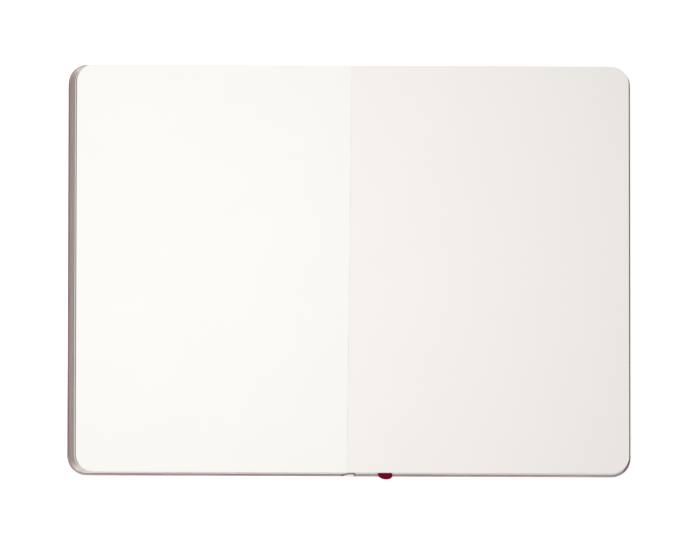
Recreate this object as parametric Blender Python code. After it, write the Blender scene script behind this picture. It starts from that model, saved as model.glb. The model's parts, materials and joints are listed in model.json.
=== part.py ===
"""A thread-sewn sketchbook with a soft cover, lying open at the fold of its middle section.

Metres, +Z up. X runs across the spread, Y from the tail to the head, and the book lies on z = 0.
Every size across the spread is counted from the gutter, the fold between the two top leaves, and
the empty named spread sets the gutter so that the two covers lie evenly about x = 0. Each half is
a pile: cover, endpaper, three sections and the four loose leaves of the middle section. A pile
leans, so its lower leaves stand out past its upper ones at the fore-edge. All leaves turn about
the gutter, and the front cover about a line midway between the two fore-edges of the covers, so
that it shuts squarely on the back cover.
"""

import math

import bmesh
import bpy
from mathutils import Matrix, Vector

MM = 0.001
LEFT = -1
RIGHT = 1

# Leaves
PAGE_WIDTH = 141.0 * MM  # from the fold to the fore-edge
PAGE_HEIGHT = 210.0 * MM
CORNER_RADIUS = 9.0 * MM
PAPER = 0.18 * MM  # drawing paper of about 150 g
LEAVES_IN_SECTION = 8
SECTIONS_IN_PILE = 3
LOOSE_IN_PILE = 4

# How far the flyleaf of each pile stands out past the pile's top leaf
LEAN = {LEFT: 3.1 * MM, RIGHT: 0.4 * MM}

# Cover
COVER_OVERHANG = 0.9 * MM  # past the flyleaf at the fore-edge, and past all leaves at head and tail
SKIN = 0.4 * MM
CARD = 0.6 * MM
TURN_IN = 0.3 * MM  # the skin where it is turned in over the card, pared and pressed
TURN_IN_WIDTH = 13.0 * MM
PASTEDOWN_MARGIN = 2.5 * MM  # turned-in skin that still shows around the pastedown
LINING = 0.25 * MM

# Ribbon marker
RIBBON = 0.25 * MM
RIBBON_WIDTH = 7.2 * MM
RIBBON_PAST_TAIL = 3.0 * MM
RIBBON_HEAD_X = 5.0 * MM
RIBBON_TAIL_X = 18.0 * MM
RIBBON_HEAD_Y = PAGE_HEIGHT / 2 - 1.0 * MM

# Sewing in the open fold
STITCHES = 5
STITCH_FROM_HEAD = 25.0 * MM
STITCH_FROM_TAIL = 14.0 * MM
THREAD = 0.4 * MM

# Clearances
PLY_GAP = 0.15 * MM  # between glued plies
LEAF_GAP = 0.15 * MM  # between leaves and sections, and on each side of the ribbon
SLIT_HALF = 0.5 * MM  # from the gutter to the spine skin of either pile
FOLD_TO_LINING = 0.3 * MM
LOOSE_FROM_GUTTER = THREAD / 2 + LEAF_GAP
FOLD_DROP = 0.4 * MM  # from the loose leaves down to the bend of the spine
FOLD_SWING = 0.55 * MM  # from the bend down to the standing spine skins
FOLD_SIDE_GAP = 0.22 * MM

# Resolution of round stretches
CORNER_SEGMENTS = 8
FOLD_SEGMENTS = 3
THREAD_SIDES = 10
TIP_SEGMENTS = 12

# Heights of the pile, from the floor up
SECTION = LEAVES_IN_SECTION * PAPER
CARD_LOW = SKIN + PLY_GAP
TURN_IN_LOW = CARD_LOW + CARD + PLY_GAP
COVER_HIGH = TURN_IN_LOW + TURN_IN
PASTEDOWN_LOW = COVER_HIGH + PLY_GAP
FLYLEAF_LOW = PASTEDOWN_LOW + PAPER + LEAF_GAP
SECTIONS_LOW = FLYLEAF_LOW + PAPER + LEAF_GAP
RIBBON_LOW = SECTIONS_LOW + SECTIONS_IN_PILE * (SECTION + LEAF_GAP)
LOOSE_LOW = RIBBON_LOW + RIBBON + LEAF_GAP
TOP = LOOSE_LOW + LOOSE_IN_PILE * (PAPER + LEAF_GAP) - LEAF_GAP
HINGE_Z = TOP + LEAF_GAP / 2
FOLD_LOW = LOOSE_LOW - FOLD_DROP - SKIN
WALL_HIGH = FOLD_LOW - FOLD_SWING

# Distances from the gutter, before the lean
WALL_NEAR = SLIT_HALF
WALL_FAR = WALL_NEAR + SKIN
LINING_NEAR = WALL_FAR + PLY_GAP
LINING_FAR = LINING_NEAR + LINING
BOUND_FROM_GUTTER = LINING_FAR + FOLD_TO_LINING

HALF_HEIGHT = PAGE_HEIGHT / 2
COVER_HALF_HEIGHT = HALF_HEIGHT + COVER_OVERHANG


def slope(side):
    """How far a pile leans outwards for each metre down."""
    return LEAN[side] / (HINGE_Z - FLYLEAF_LOW)


def lean(side, z):
    """How far the pile has leant outwards at height z."""
    return slope(side) * (HINGE_Z - z)


def cover_edge(side):
    """Distance from the gutter to the cover's fore-edge."""
    return PAGE_WIDTH + LEAN[side] + COVER_OVERHANG


def clear_scene():
    for old in list(bpy.data.objects):
        bpy.data.objects.remove(old)


def linear(channel):
    if channel <= 0.04045:
        return channel / 12.92
    return ((channel + 0.055) / 1.055) ** 2.4


def make_material(name, srgb, roughness):
    material = bpy.data.materials.new(name)
    material.use_nodes = True
    shader = material.node_tree.nodes["Principled BSDF"]
    shader.inputs["Base Color"].default_value = (*[linear(c) for c in srgb], 1.0)
    shader.inputs["Roughness"].default_value = roughness
    shader.inputs["Metallic"].default_value = 0.0
    return material


def from_gutter(empty):
    """An empty's place, counted from the foot of the gutter."""
    place = Vector((0.0, 0.0, 0.0))
    while empty.parent is not None:
        place += empty.location
        empty = empty.parent
    return place


def add_empty(name, parent, place):
    empty = bpy.data.objects.new(name, None)
    bpy.context.scene.collection.objects.link(empty)
    empty.parent = parent
    empty.location = place - from_gutter(parent) if parent else place
    return empty


def add_piece(name, mesh_data, holder, material):
    """Make an object from a bmesh drawn from the gutter. Its origin is its holder's place."""
    bmesh.ops.translate(mesh_data, verts=mesh_data.verts, vec=-from_gutter(holder))
    mesh = bpy.data.meshes.new(name)
    mesh_data.to_mesh(mesh)
    mesh_data.free()
    mesh.materials.append(material)
    piece = bpy.data.objects.new(name, mesh)
    bpy.context.scene.collection.objects.link(piece)
    piece.parent = holder
    return piece


def arc(centre, radius, start, end, segments):
    """Points along an arc, with angles in degrees."""
    points = []
    for step in range(segments + 1):
        angle = math.radians(start + (end - start) * step / segments)
        points.append(centre + radius * Vector((math.cos(angle), math.sin(angle))))
    return points


def leaf_outline(inner, outer, half_height, radius):
    """A leaf's outline on the right of the gutter: square at the fold, round at the fore-edge."""
    points = [Vector((inner, half_height)), Vector((inner, -half_height))]
    tail = Vector((outer - radius, radius - half_height))
    head = Vector((outer - radius, half_height - radius))
    points += arc(tail, radius, -90.0, 0.0, CORNER_SEGMENTS)
    points += arc(head, radius, 0.0, 90.0, CORNER_SEGMENTS)
    return points


def loft(rings):
    """A closed body through outlines at given heights, capped at the first and the last.

    The outlines run anticlockwise and have as many points as each other.
    """
    mesh_data = bmesh.new()
    loops = [
        [mesh_data.verts.new((point.x, point.y, z)) for point in outline] for outline, z in rings
    ]
    mesh_data.faces.new(reversed(loops[0]))
    mesh_data.faces.new(loops[-1])
    for loop, above in zip(loops, loops[1:]):
        for number, vert in enumerate(loop):
            after = (number + 1) % len(loop)
            mesh_data.faces.new((vert, loop[after], above[after], above[number]))
    return mesh_data


def lean_outwards(mesh_data, side):
    """Shear a body with its pile, and put it on its side of the gutter."""
    shear = Matrix.Identity(4)
    shear[0][2] = -slope(side)
    shear[0][3] = lean(side, 0.0)
    bmesh.ops.transform(mesh_data, matrix=shear, verts=mesh_data.verts)
    put_on_side(mesh_data, side)


def put_on_side(mesh_data, side):
    """Bodies are drawn on the right; the left one is its mirror image, turned outside out."""
    if side == LEFT:
        bmesh.ops.scale(mesh_data, vec=(-1.0, 1.0, 1.0), verts=mesh_data.verts)
        bmesh.ops.reverse_faces(mesh_data, faces=mesh_data.faces)


def sheet(side, inner, low, high):
    """A leaf, or a block of leaves, of the page's outline."""
    outline = leaf_outline(inner, PAGE_WIDTH, HALF_HEIGHT, CORNER_RADIUS)
    mesh_data = loft([(outline, low), (outline, high)])
    lean_outwards(mesh_data, side)
    return mesh_data


def section(side, low):
    """A folded section: its back, at the fold, is round."""
    outline = leaf_outline(BOUND_FROM_GUTTER, PAGE_WIDTH, HALF_HEIGHT, CORNER_RADIUS)
    mesh_data = loft([(outline, low), (outline, low + SECTION)])
    back = [
        edge
        for edge in mesh_data.edges
        if all(math.isclose(vert.co.x, BOUND_FROM_GUTTER, abs_tol=1e-7) for vert in edge.verts)
        and math.isclose(edge.verts[0].co.z, edge.verts[1].co.z, abs_tol=1e-7)
    ]
    bmesh.ops.bevel(
        mesh_data,
        geom=back,
        offset=SECTION * 0.45,
        offset_type="OFFSET",
        segments=FOLD_SEGMENTS,
        profile=0.5,
        affect="EDGES",
    )
    lean_outwards(mesh_data, side)
    return mesh_data


def upright(side, near, far, low, high, half_height):
    """A thin ply that stands along the spine and leans with its pile."""
    mesh_data = bmesh.new()
    bmesh.ops.create_cube(mesh_data, size=1.0)
    size = (far - near, 2 * half_height, high - low)
    bmesh.ops.scale(mesh_data, vec=size, verts=mesh_data.verts)
    middle = ((near + far) / 2, 0.0, (low + high) / 2)
    bmesh.ops.translate(mesh_data, vec=middle, verts=mesh_data.verts)
    lean_outwards(mesh_data, side)
    return mesh_data


def cover_inner(side):
    """Where the flat of the cover ends, beside the foot of the spine skin."""
    return WALL_FAR + lean(side, 0.0) + PLY_GAP


def cover_outline(side, inset, spine_inset):
    """The cover's outline, drawn in at its three free edges and at the spine."""
    return leaf_outline(
        cover_inner(side) + spine_inset,
        cover_edge(side) - inset,
        COVER_HALF_HEIGHT - inset,
        max(CORNER_RADIUS - inset, SKIN),
    )


def cover_skin(side):
    """The skin wraps the card: a floor, a rim, and the turned-in strip over three edges."""
    outside = cover_outline(side, 0.0, 0.0)
    turned_in = cover_outline(side, TURN_IN_WIDTH, SKIN)
    pocket = cover_outline(side, SKIN, SKIN)
    mesh_data = loft(
        [
            (outside, 0.0),
            (outside, COVER_HIGH),
            (turned_in, COVER_HIGH),
            (turned_in, TURN_IN_LOW),
            (pocket, TURN_IN_LOW),
            (pocket, SKIN),
        ]
    )
    put_on_side(mesh_data, side)
    return mesh_data


def cover_card(side):
    inset = SKIN + PLY_GAP
    outline = cover_outline(side, inset, inset)
    mesh_data = loft([(outline, CARD_LOW), (outline, CARD_LOW + CARD)])
    put_on_side(mesh_data, side)
    return mesh_data


def pastedown(side):
    outline = cover_outline(side, PASTEDOWN_MARGIN, SKIN)
    mesh_data = loft([(outline, PASTEDOWN_LOW), (outline, PASTEDOWN_LOW + PAPER)])
    put_on_side(mesh_data, side)
    return mesh_data


def spine_fold():
    """The bend of the spine skin, bridging the slit between the two standing spine skins."""
    left = FOLD_SIDE_GAP - SLIT_HALF - lean(LEFT, FOLD_LOW)
    right = SLIT_HALF + lean(RIGHT, FOLD_LOW) - FOLD_SIDE_GAP
    mesh_data = bmesh.new()
    bmesh.ops.create_cube(mesh_data, size=1.0)
    bmesh.ops.scale(mesh_data, vec=(right - left, PAGE_HEIGHT, SKIN), verts=mesh_data.verts)
    middle = ((left + right) / 2, 0.0, FOLD_LOW + SKIN / 2)
    bmesh.ops.translate(mesh_data, vec=middle, verts=mesh_data.verts)
    return mesh_data


def stitch(number):
    """One stretch of thread along the fold, between two sewing holes."""
    spacing = (PAGE_HEIGHT - STITCH_FROM_HEAD - STITCH_FROM_TAIL) / (2 * STITCHES - 1)
    middle_y = HALF_HEIGHT - STITCH_FROM_HEAD - spacing * (2 * number + 0.5)
    mesh_data = bmesh.new()
    bmesh.ops.create_cone(
        mesh_data,
        cap_ends=True,
        segments=THREAD_SIDES,
        radius1=THREAD / 2,
        radius2=THREAD / 2,
        depth=spacing,
        matrix=Matrix.Rotation(math.radians(90.0), 4, "X"),
    )
    place = (0.0, middle_y, TOP - THREAD / 2)
    bmesh.ops.translate(mesh_data, vec=place, verts=mesh_data.verts)
    return mesh_data


def ribbon():
    """A flat ribbon from its glued end at the head to a half-round tip past the tail."""
    tip_y = -HALF_HEIGHT - RIBBON_PAST_TAIL
    run = Vector((RIBBON_TAIL_X - RIBBON_HEAD_X, tip_y - RIBBON_HEAD_Y))
    half = RIBBON_WIDTH / 2
    centre = Vector((0.0, half - run.length))
    outline = [Vector((half, 0.0)), Vector((-half, 0.0))]
    outline += arc(centre, half, -180.0, 0.0, TIP_SEGMENTS)
    mesh_data = loft([(outline, RIBBON_LOW), (outline, RIBBON_LOW + RIBBON)])
    slant = Matrix.Rotation(math.atan2(run.x, -run.y), 4, "Z")
    place = Matrix.Translation((RIBBON_HEAD_X, RIBBON_HEAD_Y, 0.0))
    bmesh.ops.transform(mesh_data, matrix=place @ slant, verts=mesh_data.verts)
    return mesh_data


clear_scene()
skin_red = make_material("leatherette_wine", (0.43, 0.10, 0.23), 0.55)
card_grey = make_material("cover_card", (0.62, 0.58, 0.53), 0.9)
paper_white = make_material("drawing_paper", (0.96, 0.955, 0.93), 0.9)
mull_white = make_material("mull_lining", (0.90, 0.89, 0.86), 0.9)
thread_white = make_material("linen_thread", (0.93, 0.92, 0.89), 0.7)
ribbon_red = make_material("ribbon_raspberry", (0.52, 0.03, 0.19), 0.45)

# Root: the right half's cover, with the gutter set so that the covers lie evenly about x = 0
gutter_x = (cover_edge(LEFT) - cover_edge(RIGHT)) / 2
spread = add_empty("spread", None, Vector((gutter_x, 0.0, 0.0)))
front_hinge_x = -gutter_x
front_hinge = add_empty("front_cover_hinge", spread, Vector((front_hinge_x, 0.0, HINGE_Z)))
fold_hinge = add_empty("spine_fold_hinge", spread, Vector((front_hinge_x, 0.0, HINGE_Z)))
holders = {LEFT: front_hinge, RIGHT: spread}
pile_names = {LEFT: "front", RIGHT: "back"}

for side, half in pile_names.items():
    holder = holders[side]
    add_piece(f"{half}_cover_skin", cover_skin(side), holder, skin_red)
    add_piece(f"{half}_cover_card", cover_card(side), holder, card_grey)
    add_piece(f"{half}_pastedown", pastedown(side), holder, paper_white)
    wall = upright(side, WALL_NEAR, WALL_FAR, 0.0, WALL_HIGH, HALF_HEIGHT)
    add_piece(f"{half}_spine_skin", wall, holder, skin_red)
    lining_low = PASTEDOWN_LOW + PAPER + PLY_GAP
    lining = upright(side, LINING_NEAR, LINING_FAR, lining_low, WALL_HIGH, HALF_HEIGHT)
    add_piece(f"{half}_spine_lining", lining, holder, mull_white)
add_piece("spine_fold_skin", spine_fold(), fold_hinge, skin_red)
for number in range(STITCHES):
    add_piece(f"centre_stitch_{number + 1}", stitch(number), spread, thread_white)

# The leaves of each pile, from its cover up: each turns on its own hinge and carries what is on it
section_numbers = {LEFT: (1, 2, 3), RIGHT: (7, 6, 5)}
gutter = Vector((0.0, 0.0, HINGE_Z))
for side, half in pile_names.items():
    hinge = add_empty(f"{half}_flyleaf_hinge", holders[side], gutter)
    flyleaf = sheet(side, BOUND_FROM_GUTTER, FLYLEAF_LOW, FLYLEAF_LOW + PAPER)
    add_piece(f"{half}_flyleaf", flyleaf, hinge, paper_white)
    for step, number in enumerate(section_numbers[side]):
        low = SECTIONS_LOW + step * (SECTION + LEAF_GAP)
        hinge = add_empty(f"section_{number}_hinge", hinge, gutter)
        add_piece(f"section_{number}", section(side, low), hinge, paper_white)
    if side == RIGHT:
        place = Vector((RIBBON_HEAD_X, RIBBON_HEAD_Y, RIBBON_LOW))
        ribbon_hinge = add_empty("ribbon_hinge", hinge, place)
        add_piece("ribbon_marker", ribbon(), ribbon_hinge, ribbon_red)
    name = "left" if side == LEFT else "right"
    for number in range(LOOSE_IN_PILE, 0, -1):
        low = LOOSE_LOW + (LOOSE_IN_PILE - number) * (PAPER + LEAF_GAP)
        hinge = add_empty(f"leaf_{name}_{number}_hinge", hinge, gutter)
        leaf = sheet(side, LOOSE_FROM_GUTTER, low, low + PAPER)
        add_piece(f"leaf_{name}_{number}", leaf, hinge, paper_white)

bpy.context.view_layer.update()
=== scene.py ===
"""A thread-sewn sketchbook with a soft wine cover, lying open at the fold of its middle section."""

import json
import math
import random

import bmesh
import bpy
from mathutils import Matrix, Vector


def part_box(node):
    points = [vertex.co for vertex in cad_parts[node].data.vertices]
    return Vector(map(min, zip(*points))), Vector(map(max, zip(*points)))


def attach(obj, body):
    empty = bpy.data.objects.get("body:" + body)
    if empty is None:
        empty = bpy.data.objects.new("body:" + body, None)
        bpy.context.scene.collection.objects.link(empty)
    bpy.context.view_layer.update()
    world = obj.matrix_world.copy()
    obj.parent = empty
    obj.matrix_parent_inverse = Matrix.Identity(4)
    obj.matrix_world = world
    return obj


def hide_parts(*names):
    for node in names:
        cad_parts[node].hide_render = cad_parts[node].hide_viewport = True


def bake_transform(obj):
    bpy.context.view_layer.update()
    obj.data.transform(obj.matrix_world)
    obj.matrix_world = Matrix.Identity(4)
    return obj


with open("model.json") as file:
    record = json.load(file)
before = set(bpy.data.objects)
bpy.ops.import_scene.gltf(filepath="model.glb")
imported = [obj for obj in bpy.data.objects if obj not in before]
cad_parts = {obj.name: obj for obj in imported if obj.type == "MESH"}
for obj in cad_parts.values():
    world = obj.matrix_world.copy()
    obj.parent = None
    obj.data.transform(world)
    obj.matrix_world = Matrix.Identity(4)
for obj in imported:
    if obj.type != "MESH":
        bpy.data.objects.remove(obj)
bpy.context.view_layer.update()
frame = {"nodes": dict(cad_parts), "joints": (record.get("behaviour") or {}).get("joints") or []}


# ---- Studio -------------------------------------------------------------------------------------
# A white table top under a soft round lamp whose pool of light fades towards the right, with a weak
# fill from the tail. The camera looks down from far off, leaning a little towards the tail.

def rgba(colour):
    """An sRGB colour such as #7A1A3C, as the linear values that a shader takes."""
    parts = [int(colour[i:i + 2], 16) / 255 for i in (1, 3, 5)]
    return (*(p / 12.92 if p <= 0.04045 else ((p + 0.055) / 1.055) ** 2.4 for p in parts), 1.0)


def add_node(material, kind, settings=None, inputs=None):
    """Adds a shader node. An input is a value, or another node's output, and is then linked."""
    made = material.node_tree.nodes.new("ShaderNode" + kind)
    for name, value in (settings or {}).items():
        setattr(made, name, value)
    for name, value in (inputs or {}).items():
        if isinstance(value, bpy.types.NodeSocket):
            material.node_tree.links.new(value, made.inputs[name])
        else:
            made.inputs[name].default_value = value
    return made


def new_material(name):
    """An empty node material with its surface shader, which is returned too."""
    material = bpy.data.materials.new(name)
    material.use_nodes = True
    return material, material.node_tree.nodes["Principled BSDF"]


def new_piece(name, bm, materials, smooth_angle=None):
    """Turns a finished bmesh into an object that stands at the origin."""
    mesh = bpy.data.meshes.new(name)
    bm.to_mesh(mesh)
    bm.free()
    piece = bpy.data.objects.new(name, mesh)
    bpy.context.scene.collection.objects.link(piece)
    for material in materials:
        mesh.materials.append(material)
    if smooth_angle is not None:
        mesh.shade_smooth()
        mesh.set_sharp_from_angle(angle=math.radians(smooth_angle))
    return piece


white_laminate, shader = new_material("white_laminate")
cloud = add_node(white_laminate, "TexNoise", inputs={"Scale": 3.0, "Detail": 2.0})
shade = add_node(white_laminate, "ValToRGB", inputs={"Fac": cloud.outputs["Fac"]})
shade.color_ramp.elements[0].color = rgba("#FAFAFA")
shade.color_ramp.elements[1].color = rgba("#FDFDFD")
white_laminate.node_tree.links.new(shade.outputs["Color"], shader.inputs["Base Color"])
shader.inputs["Roughness"].default_value = 0.6
shader.inputs["Emission Color"].default_value = rgba("#FFFFFF")
shader.inputs["Emission Strength"].default_value = 0.45

TABLE_HALF = 2.0
bm = bmesh.new()
bmesh.ops.create_grid(bm, x_segments=1, y_segments=1, size=TABLE_HALF)
floor = new_piece("table_top", bm, [white_laminate])

scene = bpy.context.scene
scene.view_settings.view_transform = "Standard"
world = bpy.data.worlds.new("studio")
scene.world = world
world.use_nodes = True
world.node_tree.nodes["Background"].inputs["Color"].default_value = rgba("#FFFFFF")
world.node_tree.nodes["Background"].inputs["Strength"].default_value = 0.45

ABOVE_BOOK, PAST_TAIL = Vector((-0.11, 0.03, 1.20)), Vector((-0.10, -0.90, 0.80))
POOL_RADIUS = 0.66  # of the overhead lamp's light on the table
lamp = bpy.data.lights.new("overhead_lamp", "SPOT")
lamp.energy = 35.6
lamp.shadow_soft_size = 0.30
lamp.spot_size = 2 * math.atan(POOL_RADIUS / ABOVE_BOOK.z)
lamp.spot_blend = 1.0
overhead_lamp = bpy.data.objects.new("overhead_lamp", lamp)
scene.collection.objects.link(overhead_lamp)
overhead_lamp.location = ABOVE_BOOK

lamp = bpy.data.lights.new("tail_lamp", "AREA")
lamp.energy = 1.3
lamp.size = 0.5
tail_lamp = bpy.data.objects.new("tail_lamp", lamp)
scene.collection.objects.link(tail_lamp)
tail_lamp.location = PAST_TAIL
tail_lamp.rotation_mode = "QUATERNION"
tail_lamp.rotation_quaternion = PAST_TAIL.to_track_quat("Z", "Y")

SHOWN_WIDTH = 0.3567  # of the table, from side to side of the view
DISTANCE = 8.0
LEAN_TO_TAIL, LEAN_TO_LEFT, ROLL = 8.2, 1.3, 0.058  # degrees
AIM_TO_HEAD = 0.00105  # from the middle of the book
camera = bpy.data.cameras.new("camera")
camera.sensor_width = 36.0
camera.lens = camera.sensor_width * DISTANCE / SHOWN_WIDTH
camera.clip_end = 20.0
view_back = Vector((-math.sin(math.radians(LEAN_TO_LEFT)),
                    -math.sin(math.radians(LEAN_TO_TAIL)), 0.0))
view_back.z = math.sqrt(1.0 - view_back.length_squared)
view_up = (Vector((0, 1, 0)) - view_back * view_back.y).normalized()
view_up = Matrix.Rotation(math.radians(ROLL), 3, view_back) @ view_up
camera_object = bpy.data.objects.new("camera", camera)
scene.collection.objects.link(camera_object)
page_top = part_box("leaf_right_1")[1].z
aim = Vector((0.0, AIM_TO_HEAD, page_top))
turn = Matrix((view_up.cross(view_back), view_up, view_back)).transposed().to_4x4()
camera_object.matrix_world = Matrix.Translation(aim + view_back * DISTANCE) @ turn
scene.camera = camera_object


# ---- Cover skin ---------------------------------------------------------------------------------
# One sheet of wine leatherette, a soft vinyl on a paper backing, embossed with a fine grain. It is
# glued under both boards with its borders turned in over them, and between them it runs loose over
# the backs of the sections.
GUTTER = (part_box("centre_stitch_1")[0].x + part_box("centre_stitch_1")[1].x) / 2
FOLD_HIGH = frame["joints"][0]["pos_m"][2]  # the line that the leaves turn about
SKIN = 0.0004
TURNED_IN = 0.013
COVER_CORNER = 0.0099
ROLLED_EDGE = 0.00055  # the skin's bend round the edge of the board
SPINE_BEND = 0.00035  # its bends between the boards
AIR = 0.00002  # between the skin and what it covers
NEAR = 1e-5  # two places this near are the same place
LEFT_SIDE, RIGHT_SIDE = -1, 1

front, back_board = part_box("front_cover_skin"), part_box("back_cover_skin")
rise, back_rise, crest = (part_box(n) for n in ("front_spine_skin", "back_spine_skin",
                                              "spine_fold_skin"))
HEAD = front[1].y
COVER_HIGH = front[1].z
HEAD_SHORT, TAIL_SHORT = 0.0002, 0.0001
SPINE_HEAD = rise[1].y - HEAD_SHORT  # the spine stands back at the head
SPINE_TAIL = HEAD - TAIL_SHORT  # but at the tail it reaches nearly as far as the boards
outline = (
    (front[0].x, 0.0, HEAD), (front[1].x, 0.0, HEAD),
    (rise[0].x + SKIN, 0.0, SPINE_TAIL), (rise[1].x, rise[1].z, SPINE_TAIL),
    (crest[0].x + SKIN, crest[0].z, SPINE_TAIL), (crest[1].x - SKIN, crest[0].z, SPINE_TAIL),
    (back_rise[0].x, back_rise[1].z, SPINE_TAIL), (back_rise[1].x - SKIN, 0.0, SPINE_TAIL),
    (back_board[0].x, 0.0, HEAD), (back_board[1].x, 0.0, HEAD),
)
bm = bmesh.new()
tail_line = [bm.verts.new((x, -y, z)) for x, z, y in outline]
edges = [bm.edges.new(pair) for pair in zip(tail_line, tail_line[1:])]
swept = bmesh.ops.extrude_edge_only(bm, edges=edges)["geom"]
for v in swept:
    if isinstance(v, bmesh.types.BMVert):
        v.co.y = HEAD if -v.co.y > SPINE_TAIL + NEAR else SPINE_HEAD
corners = [v for v in bm.verts
           if min(abs(v.co.x - front[0].x), abs(v.co.x - back_board[1].x)) < NEAR]
bmesh.ops.bevel(bm, geom=corners, affect="VERTICES", offset=COVER_CORNER, offset_type="OFFSET",
                segments=10, profile=0.5, material=-1)


def on_board(v):
    return v.co.x < front[1].x + NEAR or v.co.x > back_board[0].x - NEAR


rim = [e for e in bm.edges if e.is_boundary and all(on_board(v) for v in e.verts)]
for high in (COVER_HIGH, 0.0):
    walls = bmesh.ops.extrude_edge_only(bm, edges=rim)["geom"]
    new_verts = [v for v in walls if isinstance(v, bmesh.types.BMVert)]
    for v in new_verts:
        if high:
            v.co.z = high
        else:
            v.co.y = max(-HEAD + TURNED_IN, min(HEAD - TURNED_IN, v.co.y))
            v.co.x = max(front[0].x + TURNED_IN, min(back_board[1].x - TURNED_IN, v.co.x))
    rim = [e for e in walls if isinstance(e, bmesh.types.BMEdge) and e.is_boundary
           and all(v in new_verts for v in e.verts)]
bmesh.ops.remove_doubles(bm, verts=bm.verts[:], dist=1e-6)
EDGE_ANGLE, BEND_ANGLE = 1.2, 0.2  # radians, least turn at a board's edge and in the spine
rolled = [e for e in bm.edges if len(e.link_faces) == 2 and all(on_board(v) for v in e.verts)
          and e.calc_face_angle(0.0) > EDGE_ANGLE
          and abs(e.verts[0].co.z - e.verts[1].co.z) < NEAR]
bmesh.ops.bevel(bm, geom=rolled, affect="EDGES", offset=ROLLED_EDGE, offset_type="OFFSET",
                segments=3, profile=0.5, material=-1)
bends = [e for e in bm.edges if len(e.link_faces) == 2 and e.calc_face_angle(0.0) > BEND_ANGLE
         and abs(e.verts[0].co.y - e.verts[1].co.y) > HEAD
         and front[1].x - NEAR < e.verts[0].co.x < back_board[0].x + NEAR]
bmesh.ops.bevel(bm, geom=bends, affect="EDGES", offset=SPINE_BEND, offset_type="OFFSET",
                segments=4, profile=0.5, material=-1)
bmesh.ops.recalc_face_normals(bm, faces=bm.faces[:])
under = min(bm.faces, key=lambda f: f.calc_center_median().z)
if under.normal.z > 0:
    bmesh.ops.reverse_faces(bm, faces=bm.faces[:])

# The skin is painted pale near its outline: most on top along head and tail, less on the spine's
# tail edge and on the front board's edge at head and tail, and least on the back board's and at the
# fore-edges. This is painted light, a highlight on the top border, with painted shade keeping the
# edges darker.
HIGHLIGHT_BAND, HIGHLIGHT_FADE = 0.0012, 0.0016  # how far in the painted highlight reaches, and by where it has faded out
ON_TOP = 0.0003  # this near to the board's top, the skin is no longer on its edge
for end in (-1, 1):
    bmesh.ops.bisect_plane(bm, geom=bm.verts[:] + bm.edges[:] + bm.faces[:], dist=1e-7,
                           plane_co=(0, end * (HEAD - HIGHLIGHT_FADE), 0), plane_no=(0, 1, 0))
light_and_rub = bm.verts.layers.float.new("light_and_rub")
for v in bm.verts:
    to_end = HEAD - abs(v.co.y)
    to_side = min(v.co.x - front[0].x, back_board[1].x - v.co.x)
    to_outline = min(to_end, to_side)
    if max(to_end, to_side) < COVER_CORNER:
        to_outline = COVER_CORNER - math.hypot(COVER_CORNER - to_end, COVER_CORNER - to_side)
    if on_board(v) and to_outline < HIGHLIGHT_BAND and v.co.z > NEAR:
        # Painted shade: the board edges get less of the painted highlight, the front board's ends
        # more than the rest.
        edge_highlight = 0.65 if v.co.x < 0 and to_end < COVER_CORNER else 0.35
        on_edge = v.co.z < COVER_HIGH - ON_TOP or to_side < to_end
        v[light_and_rub] = edge_highlight if on_edge else 1.0
    elif not on_board(v) and to_end < 2 * TAIL_SHORT:
        v[light_and_rub] = 0.7

# Embossed vinyl: pebbles about 0.9 mm across, drawn a little coarser than they are so that they
# show, satin on their tops, duller and painted darker in the creases as painted shade, and paler in
# patches along the outline, where the painted highlight lies.
leatherette, shader = new_material("wine_leatherette")
place = add_node(leatherette, "TexCoord").outputs["Object"]
pebbles = add_node(leatherette, "TexVoronoi", {"feature": "DISTANCE_TO_EDGE"},
                   {"Vector": place, "Scale": 1 / 0.0011})
cloud = add_node(leatherette, "TexNoise", None, {"Vector": place, "Scale": 1 / 0.03, "Detail": 4.0})
creases = add_node(leatherette, "MapRange", None, {
    "Value": pebbles.outputs["Distance"], "From Min": 0.0, "From Max": 0.25})
wine = add_node(leatherette, "Mix", {"data_type": "RGBA"}, {
    "Factor": cloud.outputs["Fac"], "A": rgba("#6E1534"), "B": rgba("#8A2249")})
# Painted shade: the creases between the pebbles are painted a darker wine, #52102A.
crease_shaded = add_node(leatherette, "Mix", {"data_type": "RGBA"}, {
    "Factor": creases.outputs["Result"], "A": rgba("#52102A"), "B": wine.outputs["Result"]})
light_and_rub_mask = add_node(leatherette, "Attribute", {"attribute_name": "light_and_rub"})
patches = add_node(leatherette, "Math", {"operation": "MULTIPLY", "use_clamp": True}, {
    0: light_and_rub_mask.outputs["Fac"], 1: add_node(leatherette, "MapRange", None, {
        "Value": cloud.outputs["Fac"], "From Min": 0.2, "From Max": 0.8,
        "To Min": 0.5, "To Max": 1.0}).outputs["Result"]})
# Painted light: the pale #D3BEC4 is a highlight painted along the top border, in patches.
coloured = add_node(leatherette, "Mix", {"data_type": "RGBA"}, {
    "Factor": patches.outputs["Value"], "A": crease_shaded.outputs["Result"], "B": rgba("#D3BEC4")})
dull = add_node(leatherette, "MapRange", None, {
    "Value": creases.outputs["Result"], "To Min": 0.62, "To Max": 0.44})
relief = add_node(leatherette, "Bump", None, {
    "Height": creases.outputs["Result"], "Distance": 0.00008, "Strength": 0.7})
leatherette.node_tree.links.new(coloured.outputs["Result"], shader.inputs["Base Color"])
leatherette.node_tree.links.new(dull.outputs["Result"], shader.inputs["Roughness"])
leatherette.node_tree.links.new(relief.outputs["Normal"], shader.inputs["Normal"])
shader.inputs["IOR"].default_value = 1.52

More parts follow.
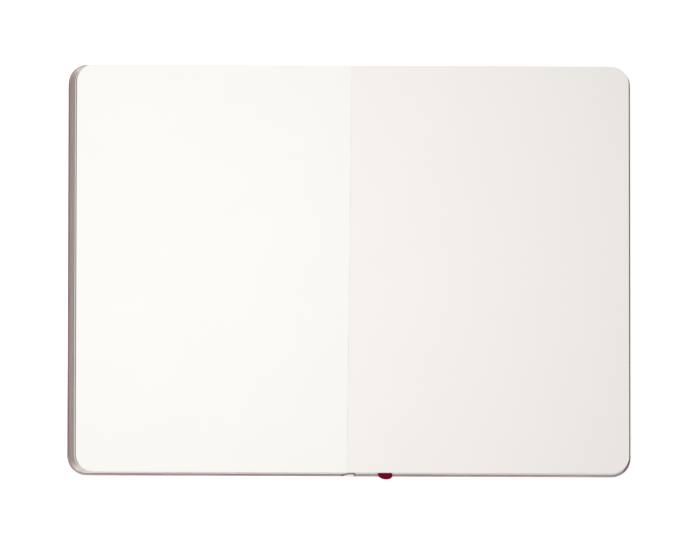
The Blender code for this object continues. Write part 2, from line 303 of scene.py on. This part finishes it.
FLAT_AREA = 0.0001  # faces larger than this stay flat, right up to the rolled edge
cover_skin = new_piece("cover_skin", bm, [leatherette], smooth_angle=35)
for polygon in cover_skin.data.polygons:
    polygon.use_smooth = polygon.area < FLAT_AREA
thickness = cover_skin.modifiers.new("thickness", "SOLIDIFY")
thickness.thickness = SKIN - AIR
thickness.offset = -1.0
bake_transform(cover_skin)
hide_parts("front_cover_skin", "front_spine_skin", "spine_fold_skin",
            "back_spine_skin", "back_cover_skin")


# ---- Boards, pastedowns and spine linings -------------------------------------------------------
# Inside the skin is a thin flexible greyboard. A pastedown of endpaper covers the board and most of
# the turned-in skin, and an open cotton gauze is glued down the back of each pile of sections.
greyboard, shader = new_material("greyboard")
place = add_node(greyboard, "TexCoord").outputs["Object"]
pulp = add_node(greyboard, "TexNoise", None, {"Vector": place, "Scale": 1 / 0.0012, "Detail": 5.0})
board_tone = add_node(greyboard, "Mix", {"data_type": "RGBA"}, {
    "Factor": pulp.outputs["Fac"], "A": rgba("#8E867A"), "B": rgba("#B4AB9D")})
pressed = add_node(greyboard, "Bump", None, {"Height": pulp.outputs["Fac"], "Distance": 0.00005})
greyboard.node_tree.links.new(board_tone.outputs["Result"], shader.inputs["Base Color"])
greyboard.node_tree.links.new(pressed.outputs["Normal"], shader.inputs["Normal"])
shader.inputs["Roughness"].default_value = 0.92

# Endpaper: a heavier, creamier, uncoated sheet with short felted fibres.
endpaper, shader = new_material("endpaper")
place = add_node(endpaper, "TexCoord").outputs["Object"]
fibres = add_node(endpaper, "TexNoise", None, {"Vector": place, "Scale": 1 / 0.0009, "Detail": 6.0})
formation = add_node(endpaper, "TexNoise", None, {"Vector": place, "Scale": 1 / 0.018,
                                                  "Detail": 3.0})
cloudy = add_node(endpaper, "Mix", {"data_type": "RGBA"}, {
    "Factor": formation.outputs["Fac"], "A": rgba("#EBE4D4"), "B": rgba("#F3EDE0")})
felted = add_node(endpaper, "Bump", None, {
    "Height": fibres.outputs["Fac"], "Distance": 0.00003, "Strength": 0.5})
endpaper.node_tree.links.new(cloudy.outputs["Result"], shader.inputs["Base Color"])
endpaper.node_tree.links.new(felted.outputs["Normal"], shader.inputs["Normal"])
shader.inputs["Roughness"].default_value = 0.85

# Mull: plain-woven cotton gauze stiffened with glue, threads 1 mm apart.
gauze, shader = new_material("cotton_gauze")
place = add_node(gauze, "TexCoord").outputs["Object"]
axes = add_node(gauze, "SeparateXYZ", None, {"Vector": place})
threads = []
for axis in ("Y", "Z"):
    wave = add_node(gauze, "Math", {"operation": "MULTIPLY"},
                    {0: axes.outputs[axis], 1: 2 * math.pi / 0.001})
    threads.append(add_node(gauze, "Math", {"operation": "SINE"}, {0: wave.outputs["Value"]}))
weave = add_node(gauze, "Math", {"operation": "MAXIMUM"},
                 {0: threads[0].outputs["Value"], 1: threads[1].outputs["Value"]})
glued = add_node(gauze, "MapRange", None, {"Value": weave.outputs["Value"], "From Min": 0.0})
gauze_tone = add_node(gauze, "Mix", {"data_type": "RGBA"}, {
    "Factor": glued.outputs["Result"], "A": rgba("#BDB49C"), "B": rgba("#EFEADD")})
woven = add_node(gauze, "Bump", None, {"Height": weave.outputs["Value"], "Distance": 0.0001})
gauze.node_tree.links.new(gauze_tone.outputs["Result"], shader.inputs["Base Color"])
gauze.node_tree.links.new(woven.outputs["Normal"], shader.inputs["Normal"])
shader.inputs["Roughness"].default_value = 0.8

for material, names in (
    (greyboard, ("front_cover_card", "back_cover_card")),
    (endpaper, ("front_pastedown", "back_pastedown")),
    (gauze, ("front_spine_lining", "back_spine_lining")),
):
    for name in names:
        for material_slot in frame["nodes"][name].material_slots:
            material_slot.material = material


# ---- Flyleaves and sections ---------------------------------------------------------------------
# Each pile holds a flyleaf of endpaper and three sections. A section is four sheets of drawing
# paper folded one inside another, which makes eight leaves, and its folds are glued and sewn at the
# back. The piles lean, so the lower leaves stand out past the upper ones at the fore-edge.
PAPER = 0.00018
LEAF_GAP = 0.00004  # air between the leaves of a section
CORNER = 0.009
HALF_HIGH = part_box("leaf_left_1")[1].y
low_leaf, top_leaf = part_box("front_flyleaf"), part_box("leaf_left_1")
low_right, top_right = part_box("back_flyleaf"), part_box("leaf_right_1")
SLOPE = {
    LEFT_SIDE: (top_leaf[0].x - low_leaf[0].x) / (top_leaf[0].z - low_leaf[0].z),
    RIGHT_SIDE: (low_right[1].x - top_right[1].x) / (top_right[0].z - low_right[0].z),
}
PAGE_WIDE = GUTTER - top_leaf[0].x - SLOPE[LEFT_SIDE] * (FOLD_HIGH - top_leaf[0].z)
SEWN_BACK = 0.0016  # the folded backs of the sections, from the gutter
WIDER_RIGHT = 0.0003  # the right-hand sections were cut this much wider
SHORT_CUT = 0.00004  # the most that a leaf falls short at head and tail
SECTION_SPREAD, LOOSE_SPREAD = (-0.00010, 0.00003), (-0.00012, 0.0)  # of the leaves' widths
SHADED_BORDER = 0.0003  # width of the border on the top of a leaf, along the fore-edge, that takes the fore-edge's painted shade
BORDER_AREA = 0.0001  # no face of that border is larger
BORDER_DEEP = 0.7 * CORNER  # it goes this far round the corners
SHADE_INSET, SHADE_FADE = 0.0004, 0.3 * CORNER  # in from the full width: painted shade at full strength, then fading out
SHEETS = 4  # in a section, folded once, so it has twice as many leaves
DIP_REACH, DIP_STEPS = 0.0045, 6  # how far from the fold a leaf dips, and in how many steps
rng = random.Random(11)

# The two faces of the drawing paper differ a little in tone, so the right-hand page of an opening
# is a touch greyer than the left-hand one. That greyer tone is painted shade on the right-hand page.
# The tooth is drawn 1 mm across, coarser than the real grain, so that it shows.
paper_sides = []
for name, tones in (("drawing_paper_brighter_face", ("#F4F2ED", "#F6F5F1")),
                    ("drawing_paper_painted_shade_face", ("#F0ECE8", "#F4EFEC"))):
    paper, shader = new_material(name)
    place = add_node(paper, "TexCoord").outputs["Object"]
    tooth = add_node(paper, "TexNoise", None, {"Vector": place, "Scale": 1 / 0.001, "Detail": 5.0})
    formation = add_node(paper, "TexNoise", None, {"Vector": place, "Scale": 1 / 0.025,
                                                   "Detail": 4.0})
    both = add_node(paper, "Mix", {"data_type": "FLOAT"}, {
        "Factor": 0.35, "A": formation.outputs["Fac"], "B": tooth.outputs["Fac"]})
    tone = add_node(paper, "Mix", {"data_type": "RGBA"}, {
        "Factor": both.outputs["Result"], "A": rgba(tones[0]), "B": rgba(tones[1])})
    grain = add_node(paper, "Bump", None, {
        "Height": tooth.outputs["Fac"], "Distance": 0.00002, "Strength": 0.5})
    paper.node_tree.links.new(tone.outputs["Result"], shader.inputs["Base Color"])
    paper.node_tree.links.new(grain.outputs["Normal"], shader.inputs["Normal"])
    shader.inputs["Roughness"].default_value = 0.9
    shader.inputs["Specular IOR Level"].default_value = 0.3
    paper_sides.append(paper)

# The guillotined edges: rougher than the page and streaked along the leaves. Head and tail keep
# clean, and the fore-edge is painted darker: painted shade on the sloping fore-edges of the piles.
cut_edge, shader = new_material("cut_edge_of_paper")
place = add_node(cut_edge, "TexCoord").outputs["Object"]
along = add_node(cut_edge, "Mapping", None, {"Vector": place, "Scale": (1.0, 1.0, 60.0)})
streaks = add_node(cut_edge, "TexNoise", None, {
    "Vector": along.outputs["Vector"], "Scale": 1 / 0.02, "Detail": 5.0})
clean = add_node(cut_edge, "Mix", {"data_type": "RGBA"}, {
    "Factor": streaks.outputs["Fac"], "A": rgba("#D3CBC5"), "B": rgba("#F0EAE4")})
# Painted shade: the fore-edge is painted this darker grey.
shaded_edge_tone = add_node(cut_edge, "Mix", {"data_type": "RGBA"}, {
    "Factor": streaks.outputs["Fac"], "A": rgba("#8A7E77"), "B": rgba("#B0A49B")})
fore_edge_shading = add_node(cut_edge, "Attribute", {"attribute_name": "fore_edge_shade"})
edge_tone = add_node(cut_edge, "Mix", {"data_type": "RGBA"}, {
    "Factor": fore_edge_shading.outputs["Fac"], "A": clean.outputs["Result"],
    "B": shaded_edge_tone.outputs["Result"]})
fuzz = add_node(cut_edge, "Bump", None, {"Height": streaks.outputs["Fac"], "Distance": 0.00005})
cut_edge.node_tree.links.new(edge_tone.outputs["Result"], shader.inputs["Base Color"])
cut_edge.node_tree.links.new(fuzz.outputs["Normal"], shader.inputs["Normal"])
shader.inputs["Roughness"].default_value = 0.95


def add_leaf(pile, side, fold, fore, low, high, dip=0.0, slant=(0.0, 0.0), shaded_border=SHADED_BORDER):
    """Adds one leaf to a bmesh. It starts flat, with its two fore-edge corners rounded, and is cut
    across near the fold so that it can dip there. Widths are counted from the gutter, and the
    inner edge runs from slant[0] further out at the head to slant[1] at the tail."""
    bm = bmesh.new()
    half = HALF_HIGH + rng.uniform(-SHORT_CUT, 0.0)
    for v in bmesh.ops.create_grid(bm, x_segments=1, y_segments=1, size=0.5)["verts"]:
        inner = fold + (slant[0] if v.co.y > 0 else slant[1])
        v.co = (fore if v.co.x > 0 else inner, math.copysign(half, v.co.y), high)
    fore_corners = [v for v in bm.verts if v.co.x == max(w.co.x for w in bm.verts)]
    bmesh.ops.bevel(bm, geom=fore_corners, affect="VERTICES", offset=CORNER,
                    offset_type="OFFSET", segments=9, profile=0.5, material=-1)
    if shaded_border:
        bmesh.ops.inset_region(bm, faces=bm.faces[:], thickness=shaded_border, use_even_offset=True,
                               use_boundary=True)
    for step in range(1, DIP_STEPS + 1):
        if dip:
            at = fold + max(slant) + DIP_REACH * step / DIP_STEPS
            bmesh.ops.bisect_plane(bm, geom=bm.verts[:] + bm.edges[:] + bm.faces[:],
                                   plane_co=(at, 0, 0), plane_no=(1, 0, 0))
    lower = bmesh.ops.extrude_face_region(bm, geom=bm.faces[:])["geom"]
    for v in lower:
        if isinstance(v, bmesh.types.BMVert):
            v.co.z = low
    bmesh.ops.recalc_face_normals(bm, faces=bm.faces[:])
    for f in bm.faces:
        at = f.calc_center_median()
        # The border near the fore-edge takes the cut edge's material, and with it the painted shade.
        border = shaded_border and f.calc_area() < BORDER_AREA and at.x > fore - BORDER_DEEP
        edge_on = abs(f.normal.z) < 0.5
        # Index 1, the greyer paper with painted shade, lies on top of every right-hand leaf.
        f.material_index = 2 if edge_on or border else int((f.normal.z > 0) == (side > 0))
    for v in bm.verts:
        across = 0.5 - v.co.y / (2 * HALF_HIGH)
        start = fold + slant[0] * (1 - across) + slant[1] * across
        near = min(1.0, max(0.0, (v.co.x - start) / DIP_REACH))
        v.co.z -= dip * (0.5 + 0.5 * math.cos(math.pi * near))
    flat = bpy.data.meshes.new("leaf")
    bm.to_mesh(flat)
    bm.free()
    pile.from_mesh(flat)
    bpy.data.meshes.remove(flat)


def lean(pile, side):
    """Leans a finished pile outwards and sets it on its side of the gutter. The attribute that
    paints shade on the cut edges is 1 along the fore-edge and fades out as the corners turn."""
    fore_edge_shade = pile.verts.layers.float.new("fore_edge_shade")
    for v in pile.verts:
        v[fore_edge_shade] = min(1.0, max(0.0, 1.0 - (PAGE_WIDE - SHADE_INSET - v.co.x) / SHADE_FADE))
        v.co.x = GUTTER + side * (v.co.x + SLOPE[side] * (FOLD_HIGH - v.co.z))
    if side < 0:
        bmesh.ops.reverse_faces(pile, faces=pile.faces[:])


for name, side in (("front_flyleaf", LEFT_SIDE), ("back_flyleaf", RIGHT_SIDE)):
    low, high = (corner.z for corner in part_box(name))
    bm = bmesh.new()
    add_leaf(bm, side, SEWN_BACK, PAGE_WIDE, low, high)
    lean(bm, side)
    piece = new_piece(name + "_sheet", bm, [endpaper, endpaper, cut_edge])
    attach(piece, name)
    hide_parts(name)

for name, side in (("section_1", LEFT_SIDE), ("section_2", LEFT_SIDE), ("section_3", LEFT_SIDE),
                   ("section_7", RIGHT_SIDE), ("section_6", RIGHT_SIDE), ("section_5", RIGHT_SIDE)):
    low, high = (corner.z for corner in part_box(name))
    bm = bmesh.new()
    middle = SEWN_BACK + (high - low) / 2
    for leaf in range(2 * SHEETS):
        level = low + leaf * PAPER
        add_leaf(bm, side, middle, PAGE_WIDE + rng.uniform(*SECTION_SPREAD)
                 + (WIDER_RIGHT if side == RIGHT_SIDE else 0.0),
                 level + LEAF_GAP / 2, level + PAPER - LEAF_GAP / 2)
    for sheet in range(SHEETS):
        outside = (high - low) / 2 - sheet * PAPER - LEAF_GAP / 2
        shell = bmesh.new()
        ends = [shell.verts.new((middle, y, (low + high) / 2 + outside))
                for y in (-HALF_HIGH, HALF_HIGH)]
        edge = shell.edges.new(ends)
        bmesh.ops.spin(shell, geom=ends + [edge], cent=(middle, 0, (low + high) / 2),
                       axis=(0, -1, 0), angle=math.pi, steps=8, use_merge=False)
        inner = bmesh.ops.extrude_face_region(shell, geom=shell.faces[:])["geom"]
        centre = Vector((middle, 0, (low + high) / 2))
        shrink = (outside - PAPER + LEAF_GAP) / outside
        for v in inner:
            if isinstance(v, bmesh.types.BMVert):
                v.co.x = centre.x + (v.co.x - centre.x) * shrink
                v.co.z = centre.z + (v.co.z - centre.z) * shrink
        bmesh.ops.recalc_face_normals(shell, faces=shell.faces[:])
        fold_mesh = bpy.data.meshes.new("fold")
        shell.to_mesh(fold_mesh)
        shell.free()
        bm.from_mesh(fold_mesh)
        bpy.data.meshes.remove(fold_mesh)
    lean(bm, side)
    piece = new_piece(name + "_sheets", bm, [*paper_sides, cut_edge])
    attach(piece, name)
    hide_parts(name)


# ---- Ribbon marker ------------------------------------------------------------------------------
# A raspberry satin ribbon 7.2 mm wide, glued into the spine at the head. It lies down the right-hand
# page under the loose leaves, and its end, heat-cut to a half round, comes out past the tail.
RIBBON_WIDE = 0.0072
RIBBON_THICK = 0.00025
RIBBON_TIP = 0.0024  # length of the rounded end, which is cut a little askew
RIBBON_SKEW = 0.0008
RIBBON_ROUND, RIBBON_POINT = 2.1, 0.00002  # 2 is an ellipse, more is blunter; the tip's width
RIPPLE, RIPPLE_TURN = 0.00004, 19.0  # its height, and the radians from end to end
ribbon_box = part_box("ribbon_marker")
RIBBON_HIGH = (ribbon_box[0].z + ribbon_box[1].z) / 2
ribbon_start = Vector((GUTTER + 0.005, 0.104, RIBBON_HIGH))
ribbon_end = Vector((GUTTER + 0.017, -0.1083, RIBBON_HIGH))
run = ribbon_end - ribbon_start
RIBBON_LONG = run.length
run.normalize()
sideways = Vector((-run.y, run.x, 0.0))

bm = bmesh.new()
weave_map = bm.loops.layers.uv.new("weave")
weave = {}
for v in bmesh.ops.create_grid(bm, x_segments=8, y_segments=150, size=0.5)["verts"]:
    down = 1.0 - (0.5 - v.co.y) ** 2  # the rows draw closer together towards the rounded end
    to_end = min(1.0, (1.0 - down) * RIBBON_LONG / RIBBON_TIP)
    width = RIBBON_WIDE * math.sqrt(1.0 - (1.0 - to_end) ** RIBBON_ROUND) + RIBBON_POINT
    ripple = RIPPLE * math.sin(down * RIPPLE_TURN) * math.cos(v.co.x * 2.0)
    weave[v] = (0.5 + v.co.x * width / RIBBON_WIDE, down)
    askew = v.co.x * width + RIBBON_SKEW * (1.0 - to_end)
    v.co = (ribbon_start + run * (down * RIBBON_LONG) + sideways * askew
            + Vector((0, 0, ripple + RIBBON_THICK / 2 - RIPPLE)))
for f in bm.faces:
    for loop in f.loops:
        loop[weave_map].uv = weave[loop.vert]
bmesh.ops.recalc_face_normals(bm, faces=bm.faces[:])
if sum(f.normal.z for f in bm.faces) < 0:
    bmesh.ops.reverse_faces(bm, faces=bm.faces[:])

# Woven satin: long polyester floats along the ribbon over fine cross ribs. The ribs are drawn
# 0.6 mm apart, about twice as coarse as they are, and a firm selvedge runs down both sides.
satin, shader = new_material("raspberry_satin")
uv = add_node(satin, "UVMap", {"uv_map": "weave"}).outputs["UV"]
axes = add_node(satin, "SeparateXYZ", None, {"Vector": uv})
ribs = add_node(satin, "Math", {"operation": "SINE"}, {
    0: add_node(satin, "Math", {"operation": "MULTIPLY"}, {
        0: axes.outputs["Y"], 1: 2 * math.pi * RIBBON_LONG / 0.0006}).outputs["Value"]})
floats = add_node(satin, "Math", {"operation": "SINE"}, {
    0: add_node(satin, "Math", {"operation": "MULTIPLY"}, {
        0: axes.outputs["X"], 1: 2 * math.pi * RIBBON_WIDE / 0.0004}).outputs["Value"]})
cloth = add_node(satin, "Math", {"operation": "MULTIPLY_ADD"}, {
    0: floats.outputs["Value"], 1: 0.4, 2: ribs.outputs["Value"]})
off_centre = add_node(satin, "Math", {"operation": "ABSOLUTE"}, {
    0: add_node(satin, "Math", {"operation": "SUBTRACT"}, {
        0: axes.outputs["X"], 1: 0.5}).outputs["Value"]})
selvedge = add_node(satin, "MapRange", None, {
    "Value": off_centre.outputs["Value"], "From Min": 0.40, "From Max": 0.46})
strands = add_node(satin, "MapRange", None, {
    "Value": cloth.outputs["Value"], "From Min": -1.4, "From Max": 1.4})
dyed = add_node(satin, "Mix", {"data_type": "RGBA"}, {
    "Factor": strands.outputs["Result"], "A": rgba("#5F0020"), "B": rgba("#7C002E")})
edged = add_node(satin, "Mix", {"data_type": "RGBA"}, {
    "Factor": selvedge.outputs["Result"], "A": dyed.outputs["Result"], "B": rgba("#4E0420")})
ribbed = add_node(satin, "Bump", None, {
    "Height": cloth.outputs["Value"], "Distance": 0.00004, "Strength": 0.6})
satin.node_tree.links.new(edged.outputs["Result"], shader.inputs["Base Color"])
satin.node_tree.links.new(ribbed.outputs["Normal"], shader.inputs["Normal"])
shader.inputs["Roughness"].default_value = 0.5
shader.inputs["Specular IOR Level"].default_value = 0.03

ribbon = new_piece("ribbon_band", bm, [satin], smooth_angle=60)
thickness = ribbon.modifiers.new("thickness", "SOLIDIFY")
thickness.thickness = RIBBON_THICK - 2 * RIPPLE
thickness.offset = -1.0
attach(ribbon, "ribbon")
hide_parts("ribbon_marker")


# ---- Loose leaves of the middle section ---------------------------------------------------------
# The book lies open in the middle of its middle section, so its four sheets lie flat as four leaves
# on each side. They dip a little into the fold, the top ones most, where the thread holds them.
FOLD_SLANT = (-0.0003, -0.0026)  # where the fold runs at the head and at the tail
DIP = 0.00005  # of the lowest of the four; each leaf above dips by as much again
FOLD_GAP = 0.00001  # half of what is left between the two leaves of a sheet
LEFT_TRIM, LEFT_TRIM_STEP, RIGHT_TRIM = -0.0004, 0.00005, 0.00035  # of the width, as cut
for side, label in ((LEFT_SIDE, "left"), (RIGHT_SIDE, "right")):
    for number in range(SHEETS, 0, -1):
        name = f"leaf_{label}_{number}"
        low, high = (corner.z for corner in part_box(name))
        dip = (SHEETS + 1 - number) * DIP
        fold = FOLD_GAP - SLOPE[side] * (FOLD_HIGH - high + dip)
        trim = LEFT_TRIM + LEFT_TRIM_STEP * number if side == LEFT_SIDE else RIGHT_TRIM
        bm = bmesh.new()
        add_leaf(bm, side, fold,
                 PAGE_WIDE + trim + (rng.uniform(*LOOSE_SPREAD) if number > 1 else 0.0),
                 low, high, dip=dip, slant=tuple(side * s for s in FOLD_SLANT),
                 shaded_border=SHADED_BORDER if number > 1 else 0.0)
        lean(bm, side)
        piece = new_piece(name + "_sheet", bm, [*paper_sides, cut_edge], smooth_angle=30)
        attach(piece, name)
        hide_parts(name)


# ---- Sewing in the open fold --------------------------------------------------------------------
# Five long stitches of white linen thread hold the middle section. Each is two plies twisted
# together, drawn tight along the fold, and its ends go down through the holes in the paper.
THREAD = 0.00036
TWIST = 0.0016  # along the thread, for one full turn
TURN_STEPS = 8
DIVE, DIVE_REACH = 0.0009, 0.0011  # how the ends go down through the paper
linen, shader = new_material("waxed_linen_thread")
place = add_node(linen, "TexCoord").outputs["Object"]
spun = add_node(linen, "TexNoise", None, {"Vector": place, "Scale": 1 / 0.0004, "Detail": 4.0})
linen_tone = add_node(linen, "Mix", {"data_type": "RGBA"}, {
    "Factor": spun.outputs["Fac"], "A": rgba("#DAD5CA"), "B": rgba("#F6F3EC")})
hairy = add_node(linen, "Bump", None, {"Height": spun.outputs["Fac"], "Distance": 0.00004})
linen.node_tree.links.new(linen_tone.outputs["Result"], shader.inputs["Base Color"])
linen.node_tree.links.new(hairy.outputs["Normal"], shader.inputs["Normal"])
shader.inputs["Roughness"].default_value = 0.6

for number in range(1, 6):
    name = f"centre_stitch_{number}"
    low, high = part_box(name)
    long = high.y - low.y
    turns = round(long / TWIST)
    steps = turns * TURN_STEPS
    bm = bmesh.new()
    for ply in (-1, 1):
        circle = bmesh.ops.create_circle(
            bm, cap_ends=True, segments=6, radius=THREAD / 4,
            matrix=Matrix.Translation((GUTTER + ply * THREAD / 4, low.y, 0.0))
            @ Matrix.Rotation(math.pi / 2, 4, "X"))["verts"]
        geom = circle + list({e for v in circle for e in v.link_edges}) + list(
            {f for v in circle for f in v.link_faces})
        bmesh.ops.spin(bm, geom=geom, cent=(GUTTER, low.y, 0.0), axis=(0, 1, 0),
                       dvec=(0, long / steps, 0), angle=2 * math.pi * turns, steps=steps,
                       use_merge=False, use_duplicate=False)
    bmesh.ops.recalc_face_normals(bm, faces=bm.faces[:])
    for v in bm.verts:
        from_end = min(v.co.y - low.y, high.y - v.co.y)
        across = 0.5 - v.co.y / (2 * HALF_HIGH)
        dive = DIVE * max(0.0, 1.0 - from_end / DIVE_REACH) ** 2
        v.co.x += FOLD_SLANT[0] * (1 - across) + FOLD_SLANT[1] * across
        v.co.z += high.z - THREAD / 2 - AIR - dive
    stitch = new_piece(name + "_thread", bm, [linen], smooth_angle=60)
    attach(stitch, "back_cover")
    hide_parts(name)
